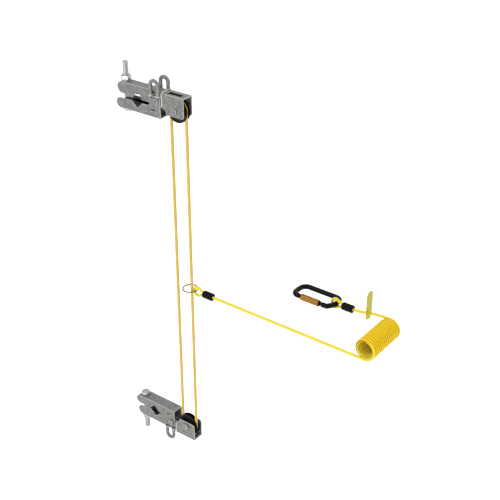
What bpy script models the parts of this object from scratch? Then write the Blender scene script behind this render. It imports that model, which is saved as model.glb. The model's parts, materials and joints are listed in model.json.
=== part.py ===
"""Rope loop between two rung clamps, with a sliding ring, a coiled lanyard and a carabiner.

Frame: metres. +X runs along the brackets from the clamp towards the pulley, +Z is up and
the origin is the centre of the rung that the upper clamp holds. The lower bracket is the
upper one turned half a turn about X.
"""

from math import cos, pi, radians, sin

import bmesh
import bpy
from mathutils import Matrix, Vector

GAP = 0.0003  # between pieces that touch
RUN = 0.0004  # radial running clearance of turning pieces
MARGIN = 0.002  # how far a cutter passes the surface it cuts

# Clamp arm: an inverted channel, the fixed half of the clamp
ARM_LEFT = -0.054
ARM_TOP = 0.029
ARM_EDGE = 0.0005  # lower edge of its walls
ARM_NOSE_EDGE = 0.0045  # lower edge of the shallower nose
ARM_STEP_X = -0.034  # where the nose ends
ARM_WALL = 0.003
V_HALF = 0.016  # half width of a V notch at its mouth
V_ARM_APEX = 0.0155
V_JAW_APEX = -0.0175
V_PAST = 0.008  # how far a notch's cutter passes the wall's edge
STEP_RUN = 0.004  # length of a slanted step in a wall's edge

# Jaw: a wider channel whose cheeks straddle the arm
JAW_WIDTH = 0.028
JAW_WALL = 0.0025
JAW_LEFT = -0.056
JAW_RIGHT = 0.062
JAW_BOTTOM = -0.0265
JAW_EDGE = -0.0045  # upper edge of its walls
CHEEK_TOP = 0.019
CHEEK_LEFT = 0.034
CHEEK_CORNER = 0.004
PIVOT_X = 0.052
PIVOT_Z = 0.008
PIVOT_R = 0.005
TAB_SLOT = (0.012, 0.004)  # length and height of the tab slots
TAB_SLOT_X = 0.042
TAB_SLOT_Z = (0.013, -0.012)
PIN_HEAD_R = 0.0065
PIN_HEAD_HEIGHT = 0.0018
PIN_END = 0.0045  # how far a pin passes the wall behind
COLLAR_R = 0.008
COLLAR_WIDTH = 0.0035

# Clamp bolt
BOLT_X = -0.038
BOLT_R = 0.006
BOLT_TOP = 0.070
HEX_ACROSS = 0.019
HEAD_HEIGHT = 0.0075
NUT_HEIGHT = 0.010
WASHER_R = 0.010
WASHER_THICK = 0.002
JAW_SLOT_HALF = 0.0132  # half length of the bolt's slot in the jaw

# Pulley housing
AXLE_X = 0.098
AXLE_Z = -0.002
AXLE_R = 0.005
HOUSE_LEFT = AXLE_X - 0.0325
HOUSE_RIGHT = AXLE_X + 0.024
HOUSE_TOP = ARM_TOP
HOUSE_BOTTOM = -0.014
HOUSE_WALL = 0.0025
HOUSE_WIDTH = JAW_WIDTH
HOUSE_RELIEF = 0.012  # radius cut from its lower corner by the clamp
HOUSE_CORNER = 0.006
ARM_RIGHT = HOUSE_LEFT + 0.0065  # its walls reach into the housing
TONGUE_DROP = 0.001  # from the housing's web down to those walls
HOUSE_INNER = HOUSE_WIDTH - 2 * HOUSE_WALL
ARM_WIDTH = HOUSE_INNER - 2 * GAP
WINDOW = (-0.024, 0.0115)  # ends of the window over the pulley, from the axle
WINDOW_CLEAR = 0.0008  # between the pulley's flank and the window's edge
ACROSS = HOUSE_WIDTH  # half length of a cutter that passes both walls

# Pulley and rope
ROPE_R = 0.00325
LOOP_R = 0.0195  # radius of the rope's centreline on the pulley
FLANGE_R = LOOP_R + 0.007
FLANGE_RIM = 0.0015  # width of the flange's flat rim
PULLEY_WIDTH = 0.011
SPACER_R = 0.009
BUSH_R = 0.0075
AXLE_DROP = 0.780  # between the two axles

# Tie-off eyes, bent from rod
EYE_ROD = 0.004
EYES = {"eye_front": -1, "eye_rear": 1}  # the side of the arm that each is welded to
EYE_X = 0.050
EYE_TOP = 0.055
EYE_FOOT = CHEEK_TOP + 0.0015  # clear of the jaw's cheek as it swings
EYE_HALF = 0.0098  # from the eye's middle to the centre of a leg

# Lanyard
CORD_R = 0.0032
LANYARD_Z = -0.407
RING_WIRE = 0.0017
RING_R = 0.0162
RING_X = AXLE_X + LOOP_R + ROPE_R + 2 * (CORD_R + GAP) + RING_WIRE - RING_R
EYE_LEG = CORD_R + 0.0005  # from a cord eye's middle to the centre of a leg
EYE_STRAIGHT = 0.003  # straight end of a leg
FERRULE_R = EYE_LEG + CORD_R + 0.0018
FERRULE_1 = (RING_X + 0.0372, RING_X + 0.0622)
FERRULE_2 = (0.436, 0.461)
COIL_X = 0.547
COIL_R = 0.0203  # radius of the cord's centreline in the coil
COIL_LENGTH = 0.103
RUN_2_Y = COIL_LENGTH - 2 * CORD_R
COIL_Z = LANYARD_Z + COIL_R
RUN_2_Z = COIL_Z + COIL_R
RUN_2_DROP = 0.0100  # from the coil's top down to the carabiner
SNAP_Z = RUN_2_Z - RUN_2_DROP
TAG_X = 0.497
TAG_SIZE = (0.0022, 0.022)
TAG_BELOW = 0.014
TAG_ABOVE = 0.052
BORE_CLEAR = 0.001  # round the cord, which slopes there
BORE_WALL = 0.0022  # of the tag's tube, with that clearance
BORE_HALF = 0.003

# Carabiner, lying level
SNAP_R = 0.0055
EYE_LOOP = 2 * (SNAP_R + CORD_R + 0.0013)  # height of a cord eye, which clears the bar
SNAP_Y = RUN_2_Y + 0.0005
GATE_R = 0.0045
GATE_Y = SNAP_Y - 0.0225
SPINE_Y = SNAP_Y + 0.0185
SNAP_RIGHT = FERRULE_2[0] - 0.015
SNAP_LEFT = SNAP_RIGHT - 0.093
HINGE_X = SNAP_RIGHT - 0.0185
NOSE_X = SNAP_LEFT + 0.0155
SLEEVE = (NOSE_X + 0.005, HINGE_X - 0.008)
SLEEVE_R = 0.007
SLEEVE_EDGE = 0.0012
GATE_PIN_R = 0.0015
TONGUE_HALF = 0.002
SNAP_NOSE_BEND = 0.012
SNAP_WIDE_BEND = 0.0155
SNAP_END_RISE = 0.006  # from the gate's line up to the start of the end's bend
BAR_END = 0.0068  # from the hinge to the end of the bar beside its fork

LOWER_Z = -AXLE_DROP + 2 * AXLE_Z

for old in list(bpy.data.objects):
    bpy.data.objects.remove(old)
parts = bpy.data.collections.new("rung_loop_line")
cutters = bpy.data.collections.new("cutters")
bpy.context.scene.collection.children.link(parts)
bpy.context.scene.collection.children.link(cutters)
materials = {}


def finish(name, colour, roughness, metallic):
    """Make one named Principled material."""
    made = bpy.data.materials.new(name)
    made.use_nodes = True
    shader = made.node_tree.nodes["Principled BSDF"]
    shader.inputs["Base Color"].default_value = (*colour, 1)
    shader.inputs["Roughness"].default_value = roughness
    shader.inputs["Metallic"].default_value = metallic
    materials[name] = made


finish("galvanised_steel", (0.27, 0.27, 0.27), 0.45, 0.8)
finish("bright_zinc", (0.7, 0.7, 0.72), 0.25, 1.0)
finish("black_nylon", (0.01, 0.01, 0.01), 0.4, 0.0)
finish("bronze_bush", (0.45, 0.28, 0.1), 0.35, 1.0)
finish("ochre_rope", (0.6, 0.36, 0.05), 0.7, 0.0)
finish("chrome", (0.75, 0.75, 0.75), 0.1, 1.0)
finish("yellow_cord", (0.8, 0.66, 0.03), 0.5, 0.0)
finish("black_heatshrink", (0.01, 0.01, 0.012), 0.45, 0.0)
finish("yellow_label", (0.65, 0.6, 0.06), 0.5, 0.0)
finish("black_anodised", (0.008, 0.008, 0.008), 0.25, 0.6)
finish("bronze_anodised", (0.45, 0.2, 0.03), 0.3, 0.8)


def move_to(obj, collection):
    """Put an object in one collection only."""
    for held in list(obj.users_collection):
        held.objects.unlink(obj)
    collection.objects.link(obj)


def named(obj, name, material, parent=None):
    """Give a part its name, material, smooth shading and parent."""
    obj.name = name
    obj.data.name = name
    obj.data.materials.clear()
    obj.data.materials.append(materials[material])
    move_to(obj, parts)
    obj.parent = parent
    if obj.type == "MESH":
        obj.data.shade_smooth()
        obj.data.set_sharp_from_angle(angle=radians(35))
    return obj


def meshed(obj):
    """Turn a curve into a welded mesh object in the same place."""
    bpy.context.view_layer.update()
    graph = bpy.context.evaluated_depsgraph_get()
    mesh = bpy.data.meshes.new_from_object(obj.evaluated_get(graph))
    work = bmesh.new()
    work.from_mesh(mesh)
    bmesh.ops.remove_doubles(work, verts=work.verts, dist=1e-6)
    work.to_mesh(mesh)
    work.free()
    made = bpy.data.objects.new(obj.name, mesh)
    made.matrix_world = obj.matrix_world.copy()
    bpy.context.scene.collection.objects.link(made)
    bpy.data.objects.remove(obj)
    return made


def origin_at(obj, point):
    """Move an object's origin to a point and leave its shape in place."""
    obj.data.transform(obj.matrix_world)
    obj.matrix_world = Matrix()
    obj.data.transform(Matrix.Translation(-Vector(point)))
    obj.location = point
    bpy.context.view_layer.update()
    return obj


def prism(outline, half_width):
    """A solid whose outline lies in X and Z and which is extruded both ways along Y."""
    curve = bpy.data.curves.new("outline", "CURVE")
    curve.dimensions = "2D"
    curve.fill_mode = "BOTH"
    curve.extrude = half_width
    spline = curve.splines.new("POLY")
    spline.points.add(len(outline) - 1)
    for point, (x, z) in zip(spline.points, outline):
        point.co = (x, z, 0, 1)
    spline.use_cyclic_u = True
    obj = bpy.data.objects.new("outline", curve)
    obj.matrix_world = Matrix.Rotation(pi / 2, 4, "X")
    bpy.context.scene.collection.objects.link(obj)
    return origin_at(meshed(obj), (0, 0, 0))


def box(low, high):
    """An axis-aligned box between two corners."""
    low, high = Vector(low), Vector(high)
    bpy.ops.mesh.primitive_cube_add(size=1, location=(low + high) / 2)
    obj = bpy.context.object
    obj.scale = high - low
    bpy.context.view_layer.update()
    return origin_at(obj, (0, 0, 0))


def rod(start, end, radius, sides=24):
    """A cylinder, or a hexagonal bar, between two points."""
    start, end = Vector(start), Vector(end)
    bpy.ops.mesh.primitive_cylinder_add(
        vertices=sides, radius=radius, depth=(end - start).length, location=(start + end) / 2
    )
    obj = bpy.context.object
    obj.rotation_euler = (end - start).to_track_quat("Z", "Y").to_euler()
    bpy.context.view_layer.update()
    return origin_at(obj, (0, 0, 0))


def combine(obj, others, operation):
    """Apply Booleans with helper solids, then keep those helpers as hidden cutters."""
    for index, other in enumerate(others):
        move_to(other, cutters)
        other.hide_render = True
        other.display_type = "WIRE"
        step = obj.modifiers.new(f"{operation.lower()}_{index}", "BOOLEAN")
        step.operation = operation
        step.solver = "EXACT"
        step.object = other
    return obj


def baked(obj):
    """Apply an object's modifiers, so that its mesh is the finished shape."""
    bpy.context.view_layer.update()
    graph = bpy.context.evaluated_depsgraph_get()
    mesh = bpy.data.meshes.new_from_object(obj.evaluated_get(graph))
    obj.modifiers.clear()
    obj.data = mesh
    return obj


def cut(obj, *others):
    """Cut helper solids from an object."""
    return baked(combine(obj, others, "DIFFERENCE"))


def arc(centre, radius, start, end, steps=6):
    """Points along an arc, with its angles in degrees."""
    angles = [radians(start + (end - start) * i / steps) for i in range(steps + 1)]
    return [(centre[0] + radius * cos(a), centre[1] + radius * sin(a)) for a in angles]


def turned(profile, place, axis="Z"):
    """A turned piece from (radius, height) points that run down its outer side."""
    mesh = bpy.data.meshes.new("profile")
    ring = [(r, 0, h) for r, h in profile]
    closed = all(r > 0 for r, _ in profile)
    edges = [(i, i + 1) for i in range(len(ring) - 1)]
    mesh.from_pydata(ring, edges + ([(len(ring) - 1, 0)] if closed else []), [])
    obj = bpy.data.objects.new("turned", mesh)
    bpy.context.scene.collection.objects.link(obj)
    screw = obj.modifiers.new("turn", "SCREW")
    screw.steps = screw.render_steps = 32
    screw.use_merge_vertices = True
    screw.merge_threshold = 0.000001
    baked(obj)
    turns = {"Z": Matrix(), "Y": Matrix.Rotation(-pi / 2, 4, "X"), "X": Matrix.Rotation(pi / 2, 4, "Y")}
    obj.matrix_world = Matrix.Translation(place) @ turns[axis]
    bpy.context.view_layer.update()
    return origin_at(obj, place)


def tube(points, radius, cyclic=False):
    """A round tube along a list of points."""
    curve = bpy.data.curves.new("tube", "CURVE")
    curve.dimensions = "3D"
    curve.bevel_depth = radius
    curve.bevel_resolution = 2
    curve.use_fill_caps = True
    spline = curve.splines.new("POLY")
    spline.points.add(len(points) - 1)
    for point, place in zip(spline.points, points):
        point.co = (*place, 1)
    spline.use_cyclic_u = cyclic
    obj = bpy.data.objects.new("tube", curve)
    bpy.context.scene.collection.objects.link(obj)
    return obj


def washer(inner, outer, thick):
    """Profile of a flat ring from its upper edge down its outer side and back up its bore."""
    return [(outer, thick / 2), (outer, -thick / 2), (inner, -thick / 2), (inner, thick / 2)]


def notch(apex, mouth_z):
    """Outline of a V notch whose flanks carry on past the wall's edge."""
    slope = V_HALF / (V_ARM_APEX - ARM_EDGE)
    drop = mouth_z - apex
    past = drop + (V_PAST if drop > 0 else -V_PAST)
    return [(0, apex), (slope * abs(past), apex + past), (-slope * abs(past), apex + past)]


def across(x, z, radius):
    """Cutter for a round hole through both walls."""
    return rod((x, -ACROSS, z), (x, ACROSS, z), radius)


def clamp_arm():
    """Fixed half of the clamp: an inverted channel with a rounded, shallower nose."""
    nose = (ARM_TOP - ARM_NOSE_EDGE) / 2
    outline = arc((ARM_LEFT + nose, ARM_TOP - nose), nose, 90, 270, 10)
    outline += [(ARM_STEP_X, ARM_NOSE_EDGE), (ARM_STEP_X + STEP_RUN, ARM_EDGE)]
    tongue = HOUSE_TOP - HOUSE_WALL - TONGUE_DROP
    outline += [(ARM_RIGHT, ARM_EDGE), (ARM_RIGHT, tongue)]
    outline += [(HOUSE_LEFT - GAP, tongue), (HOUSE_LEFT - GAP, ARM_TOP)]
    inner = ARM_WIDTH / 2 - ARM_WALL
    low, high = (ARM_LEFT - MARGIN, -inner, -MARGIN), (ARM_RIGHT + MARGIN, inner, ARM_TOP - ARM_WALL)
    return cut(
        prism(outline, ARM_WIDTH / 2),
        box(low, high),
        prism(notch(V_ARM_APEX, ARM_EDGE), ARM_WIDTH),
        rod((BOLT_X, 0, 0), (BOLT_X, 0, ARM_TOP + MARGIN), BOLT_R + RUN),
        across(PIVOT_X, PIVOT_Z, PIVOT_R + RUN),
    )


def swing_jaw():
    """Moving half: an upright channel whose tall cheeks hang on the pivot pin."""
    nose = (JAW_EDGE - JAW_BOTTOM) / 2
    outline = arc((JAW_LEFT + nose, JAW_BOTTOM + nose), nose, 90, 270, 10)
    outline += [(JAW_RIGHT, JAW_BOTTOM)]
    corner = CHEEK_CORNER
    outline += arc((JAW_RIGHT - corner, CHEEK_TOP - corner), corner, 0, 90, 4)
    outline += arc((CHEEK_LEFT + corner, CHEEK_TOP - corner), corner, 90, 180, 4)
    outline += [(CHEEK_LEFT, JAW_EDGE + STEP_RUN), (CHEEK_LEFT - STEP_RUN, JAW_EDGE)]
    inner = JAW_WIDTH / 2 - JAW_WALL
    reach, rise = TAB_SLOT[0] / 2, TAB_SLOT[1] / 2
    left, right = TAB_SLOT_X - reach, TAB_SLOT_X + reach
    slots = [box((left, -ACROSS, z - rise), (right, ACROSS, z + rise)) for z in TAB_SLOT_Z]
    half = BOLT_R + RUN
    return cut(
        prism(outline, JAW_WIDTH / 2),
        box(
            (JAW_LEFT - MARGIN, -inner, JAW_BOTTOM + JAW_WALL),
            (JAW_RIGHT + MARGIN, inner, CHEEK_TOP + MARGIN),
        ),
        prism(notch(V_JAW_APEX, JAW_EDGE), JAW_WIDTH),
        box(
            (BOLT_X - JAW_SLOT_HALF, -half, JAW_BOTTOM - MARGIN),
            (BOLT_X + JAW_SLOT_HALF, half, JAW_BOTTOM + JAW_WALL + MARGIN),
        ),
        across(PIVOT_X, PIVOT_Z, PIVOT_R + RUN),
        *slots,
    )


def pulley_housing():
    """Inverted channel over the pulley, with a window in its top and a relieved lower corner."""
    relief, corner = HOUSE_RELIEF, HOUSE_CORNER
    outline = [(HOUSE_LEFT, HOUSE_TOP), (HOUSE_LEFT, HOUSE_BOTTOM + relief)]
    outline += arc((HOUSE_LEFT, HOUSE_BOTTOM), relief, 90, 0, 6)
    outline += arc((HOUSE_RIGHT - corner, HOUSE_BOTTOM + corner), corner, 270, 360, 4)
    outline += [(HOUSE_RIGHT, HOUSE_TOP)]
    inner = HOUSE_INNER / 2
    window = PULLEY_WIDTH / 2 + WINDOW_CLEAR
    web = HOUSE_TOP - HOUSE_WALL
    return cut(
        prism(outline, HOUSE_WIDTH / 2),
        box((HOUSE_LEFT - MARGIN, -inner, HOUSE_BOTTOM - MARGIN), (HOUSE_RIGHT + MARGIN, inner, web)),
        box((AXLE_X + WINDOW[0], -window, web - MARGIN), (AXLE_X + WINDOW[1], window, HOUSE_TOP + MARGIN)),
        across(AXLE_X, AXLE_Z, AXLE_R + RUN),
    )


def pulley():
    """Grooved wheel, its groove a half round that clears the rope."""
    half = PULLEY_WIDTH / 2
    groove = ROPE_R + GAP
    side = [(FLANGE_R, half), (FLANGE_R, half - FLANGE_RIM)]
    walls = [(LOOP_R + MARGIN / 2, groove)]
    walls += [(LOOP_R - groove * sin(radians(a)), groove * cos(radians(a))) for a in range(0, 181, 30)]
    walls += [(LOOP_R + MARGIN / 2, -groove)]
    bore = BUSH_R + GAP
    outline = side + walls + [(FLANGE_R, FLANGE_RIM - half), (FLANGE_R, -half), (bore, -half), (bore, half)]
    return turned(outline, (AXLE_X, 0, AXLE_Z), "Y")


def headed_pin(place, radius, grip):
    """Round pin along Y with a flat head on its -Y end."""
    x, z = place
    start = -grip / 2 - GAP
    body = rod((x, start - PIN_HEAD_HEIGHT / 2, z), (x, grip / 2 + PIN_END, z), radius)
    head = rod((x, start - PIN_HEAD_HEIGHT, z), (x, start, z), PIN_HEAD_R)
    return origin_at(baked(combine(body, [head], "UNION")), (x, 0, z))


def pin_collar(place, radius, grip):
    """Pressed collar that keeps a pin from drawing out."""
    x, z = place
    collar = rod((x, grip / 2 + GAP, z), (x, grip / 2 + GAP + COLLAR_WIDTH, z), COLLAR_R)
    return cut(collar, across(x, z, radius + GAP / 2))


def eye(side):
    """U-bent rod welded to the outside of one of the arm's walls."""
    y = side * (ARM_WIDTH / 2 + GAP + EYE_ROD)
    bend = EYE_TOP - EYE_ROD - EYE_HALF
    path = [(EYE_X + EYE_HALF, y, EYE_FOOT)]
    path += [(x, y, z) for x, z in arc((EYE_X, bend), EYE_HALF, 0, 180, 10)]
    path += [(EYE_X - EYE_HALF, y, EYE_FOOT)]
    return tube(path, EYE_ROD)


def clamp_bolt():
    """Hexagon-headed bolt that passes the jaw and the arm from below."""
    top = JAW_BOTTOM - GAP
    head = rod((BOLT_X, 0, top - HEAD_HEIGHT), (BOLT_X, 0, top), HEX_ACROSS / 2 / cos(pi / 6), 6)
    shank = rod((BOLT_X, 0, top - HEAD_HEIGHT / 2), (BOLT_X, 0, BOLT_TOP), BOLT_R)
    return origin_at(baked(combine(shank, [head], "UNION")), (BOLT_X, 0, 0))


def clamp_nut():
    """Hexagon nut on the washer above the arm."""
    low = ARM_TOP + WASHER_THICK + 2 * GAP
    nut = rod((BOLT_X, 0, low), (BOLT_X, 0, low + NUT_HEIGHT), HEX_ACROSS / 2 / cos(pi / 6), 6)
    made = cut(nut, rod((BOLT_X, 0, low - MARGIN), (BOLT_X, 0, low + NUT_HEIGHT + MARGIN), BOLT_R + GAP))
    return origin_at(made, (BOLT_X, 0, low))


def bracket(prefix, frame):
    """All pieces of one bracket, hung on its frame."""
    pivot = (PIVOT_X, PIVOT_Z)
    axle = (AXLE_X, AXLE_Z)
    steel, zinc = "galvanised_steel", "bright_zinc"
    named(clamp_arm(), f"{prefix}_clamp_arm", steel, frame)
    named(origin_at(swing_jaw(), (pivot[0], 0, pivot[1])), f"{prefix}_swing_jaw", steel, frame)
    named(pulley_housing(), f"{prefix}_pulley_housing", steel, frame)
    named(headed_pin(pivot, PIVOT_R, JAW_WIDTH), f"{prefix}_pivot_pin", steel, frame)
    named(pin_collar(pivot, PIVOT_R, JAW_WIDTH), f"{prefix}_pivot_collar", steel, frame)
    named(clamp_bolt(), f"{prefix}_clamp_bolt", zinc, frame)
    named(clamp_nut(), f"{prefix}_clamp_nut", zinc, frame)
    seat = (BOLT_X, 0, ARM_TOP + GAP + WASHER_THICK / 2)
    named(turned(washer(BOLT_R + GAP, WASHER_R, WASHER_THICK), seat), f"{prefix}_clamp_washer", zinc, frame)
    for eye_name, side in EYES.items():
        named(eye(side), f"{prefix}_{eye_name}", steel, frame)
    named(pulley(), f"{prefix}_pulley", "black_nylon", frame)
    bush = washer(AXLE_R + RUN, BUSH_R, PULLEY_WIDTH)
    named(turned(bush, (AXLE_X, 0, AXLE_Z), "Y"), f"{prefix}_pulley_bush", "bronze_bush", frame)
    named(headed_pin(axle, AXLE_R, HOUSE_WIDTH), f"{prefix}_axle", steel, frame)
    named(pin_collar(axle, AXLE_R, HOUSE_WIDTH), f"{prefix}_axle_collar", steel, frame)
    thick = (HOUSE_INNER - PULLEY_WIDTH) / 2 - 2 * GAP
    for side, sign in (("front", -1), ("rear", 1)):
        place = (AXLE_X, sign * (PULLEY_WIDTH / 2 + GAP + thick / 2), AXLE_Z)
        spacer = turned(washer(AXLE_R + RUN, SPACER_R, thick), place, "Y")
        named(spacer, f"{prefix}_spacer_{side}", "black_nylon", frame)


def loop_rope():
    """Endless rope: two straight strands joined by half turns round the pulleys."""
    low = AXLE_Z - AXLE_DROP
    steps = 20
    points = [(x, 0, z) for x, z in arc((AXLE_X, AXLE_Z), LOOP_R, 0, 180, 12)]
    points += [(AXLE_X - LOOP_R, 0, AXLE_Z - AXLE_DROP * i / steps) for i in range(1, steps)]
    points += [(x, 0, z) for x, z in arc((AXLE_X, low), LOOP_R, 180, 360, 12)]
    points += [(AXLE_X + LOOP_R, 0, low + AXLE_DROP * i / steps) for i in range(1, steps)]
    return tube(points, ROPE_R, cyclic=True)


def eye_loop(face, far, y, z):
    """Cord eye from a ferrule's face at x = face out to x = far, and back to the face."""
    half = EYE_LOOP / 2
    side = 1 if far > face else -1
    turn = far - side * half
    path = [(face + side * run, y, z + EYE_LEG) for run in (GAP, EYE_STRAIGHT)]
    start, end = (90, -90) if side > 0 else (90, 270)
    path += [(x, y, w) for x, w in arc((turn, z), half, start, end, 12)]
    path += [(face + side * run, y, z - EYE_LEG) for run in (EYE_STRAIGHT, GAP)]
    return tube(path, CORD_R)


def ferrule(span, y, z):
    """Crimped sleeve with rounded shoulders."""
    half = (span[1] - span[0]) / 2
    shoulder = 0.0012
    profile = [(0, half), (FERRULE_R - shoulder, half), (FERRULE_R, half - shoulder)]
    profile += [(FERRULE_R, shoulder - half), (FERRULE_R - shoulder, -half), (0, -half)]
    return turned(profile, ((span[0] + span[1]) / 2, y, z), "X")


def coil_side():
    """Where a level cord at the coil's top or bottom meets the coil's outside."""
    reach = ((COIL_R + CORD_R) ** 2 - (COIL_R - CORD_R) ** 2) ** 0.5
    return COIL_X - reach - GAP


def run_2_ends():
    """Ends of the short run, from the coil to the ferrule."""
    return coil_side(), FERRULE_2[1] + GAP


def coil_envelope():
    """Outer shape of the cord's coil: a hollow turned tube along Y."""
    profile = washer(COIL_R - CORD_R, COIL_R + CORD_R, COIL_LENGTH)
    return turned(profile, (COIL_X, COIL_LENGTH / 2 - CORD_R, COIL_Z), "Y")


def run_height(share):
    """Height of the short run, level at both ends, at a share of its way from the coil."""
    return RUN_2_Z - RUN_2_DROP * share * share * (3 - 2 * share)


def straight_cord(start_x, end_x, y, height, steps):
    """Stretch of cord along X whose height follows a function of its share."""
    shares = [i / steps for i in range(steps + 1)]
    return tube([(start_x + (end_x - start_x) * i, y, height(i)) for i in shares], CORD_R)


def cord_tag():
    """Upright label folded round the cord, with a tube through its lower end."""
    thick, width = TAG_SIZE
    start, end = run_2_ends()
    z = run_height((TAG_X - start) / (end - start))
    low, high = (TAG_X - thick / 2, RUN_2_Y - width / 2), (TAG_X + thick / 2, RUN_2_Y + width / 2)
    blade = box((*low, z - TAG_BELOW), (*high, z + TAG_ABOVE))
    sleeve = rod((TAG_X - BORE_HALF, RUN_2_Y, z), (TAG_X + BORE_HALF, RUN_2_Y, z), CORD_R + BORE_WALL)
    past = BORE_HALF + MARGIN
    bore = rod((TAG_X - past, RUN_2_Y, z), (TAG_X + past, RUN_2_Y, z), CORD_R + BORE_CLEAR)
    return cut(baked(combine(blade, [sleeve], "UNION")), bore)


def carabiner_frame():
    """Open D of round bar from its nose round the spine to the forked hinge end."""
    small, large, rise = SNAP_NOSE_BEND, SNAP_WIDE_BEND, SNAP_END_RISE
    path = [(HINGE_X + 0.004, GATE_Y), (HINGE_X + 0.009, GATE_Y + 0.001)]
    path += arc((SNAP_RIGHT - small, GATE_Y + rise + small), small, -50, 0, 4)
    path += arc((SNAP_RIGHT - small, SPINE_Y - small), small, 0, 90, 6)
    path += arc((SNAP_LEFT + large, SPINE_Y - large), large, 90, 180, 6)
    path += arc((SNAP_LEFT + small, GATE_Y + small), small, 180, 270, 6)
    path += [(NOSE_X, GATE_Y)]
    body = meshed(tube([(x, y, SNAP_Z) for x, y in path], SNAP_R))
    lug = rod((HINGE_X - 0.004, GATE_Y, SNAP_Z), (HINGE_X + BAR_END, GATE_Y, SNAP_Z), SNAP_R)
    slot, side = TONGUE_HALF + GAP, SNAP_R + MARGIN
    start, end = HINGE_X - 0.006, HINGE_X + 0.005
    fork = box((start, GATE_Y - side, SNAP_Z - slot), (end, GATE_Y + side, SNAP_Z + slot))
    return cut(baked(combine(body, [lug], "UNION")), fork, hinge_hole())


def hinge_hole():
    """Cutter for the hinge pin's hole."""
    reach = SNAP_R + MARGIN
    return rod((HINGE_X, GATE_Y, SNAP_Z - reach), (HINGE_X, GATE_Y, SNAP_Z + reach), GATE_PIN_R + GAP)


def carabiner_gate():
    """Gate bar with a thin tongue on the hinge pin."""
    start = NOSE_X + 2 * GAP
    bar = rod((start, GATE_Y, SNAP_Z), (HINGE_X - BAR_END, GATE_Y, SNAP_Z), GATE_R)
    half, reach = TONGUE_HALF, TONGUE_HALF + 0.001
    tongue = box(
        (HINGE_X - 0.008, GATE_Y - reach, SNAP_Z - half), (HINGE_X + reach, GATE_Y + reach, SNAP_Z + half)
    )
    return origin_at(cut(baked(combine(bar, [tongue], "UNION")), hinge_hole()), (HINGE_X, GATE_Y, SNAP_Z))


def lanyard():
    """Everything that travels along the rope on the ring."""
    bpy.ops.mesh.primitive_torus_add(
        major_radius=RING_R, minor_radius=RING_WIRE, major_segments=36, minor_segments=10,
        location=(RING_X, 0, LANYARD_Z),
    )
    named(bpy.context.object, "shuttle_ring", "chrome")
    near = RING_X + RING_R - RING_WIRE - CORD_R - GAP
    named(eye_loop(FERRULE_1[0], near, 0, LANYARD_Z), "ring_eye_loop", "yellow_cord")
    named(ferrule(FERRULE_1, 0, LANYARD_Z), "ring_ferrule", "black_heatshrink")
    start, end = FERRULE_1[1] + GAP, coil_side()
    steps = round((end - start) / (6 * CORD_R))
    run_1 = straight_cord(start, end, 0, lambda share: LANYARD_Z, steps)
    named(run_1, "lanyard_run_long", "yellow_cord")
    named(coil_envelope(), "lanyard_coil", "yellow_cord")
    run_2 = straight_cord(*run_2_ends(), RUN_2_Y, run_height, 12)
    named(run_2, "lanyard_run_short", "yellow_cord")
    named(cord_tag(), "inspection_tag", "yellow_label")
    named(ferrule(FERRULE_2, RUN_2_Y, SNAP_Z), "carabiner_ferrule", "black_heatshrink")
    past = SNAP_RIGHT - SNAP_R - CORD_R - MARGIN
    named(eye_loop(FERRULE_2[0], past, RUN_2_Y, SNAP_Z), "carabiner_eye_loop", "yellow_cord")
    named(carabiner_frame(), "carabiner_frame", "black_anodised")
    gate = named(carabiner_gate(), "carabiner_gate", "black_anodised")
    reach = SNAP_R - GAP
    pin = rod((HINGE_X, GATE_Y, SNAP_Z - reach), (HINGE_X, GATE_Y, SNAP_Z + reach), GATE_PIN_R)
    named(pin, "gate_pin", "bright_zinc")
    half = (SLEEVE[1] - SLEEVE[0]) / 2
    rim = SLEEVE_R - SLEEVE_EDGE
    profile = [(rim, half), (SLEEVE_R, half - SLEEVE_EDGE), (SLEEVE_R, SLEEVE_EDGE - half), (rim, -half)]
    profile += [(GATE_R + GAP, -half), (GATE_R + GAP, half)]
    sleeve = turned(profile, ((SLEEVE[0] + SLEEVE[1]) / 2, GATE_Y, SNAP_Z), "X")
    named(sleeve, "gate_sleeve", "bronze_anodised", gate)
    sleeve.matrix_parent_inverse = gate.matrix_world.inverted()


upper = bpy.data.objects.new("upper_frame", None)
lower = bpy.data.objects.new("lower_frame", None)
for empty in (upper, lower):
    parts.objects.link(empty)
lower.location = (0, 0, LOWER_Z)
lower.rotation_euler = (pi, 0, 0)
bracket("upper", upper)
bracket("lower", lower)
named(loop_rope(), "loop_rope", "ochre_rope")
lanyard()
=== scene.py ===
"""Looks for a clamp-on rope loop line: brackets, rope, ring, coiled lanyard and carabiner.

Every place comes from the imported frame. New surfaces are numpy grids of points, in metres.
"""

import json
import logging
from dataclasses import dataclass, field
from enum import Enum
from math import pi, radians
from typing import Callable

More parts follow.
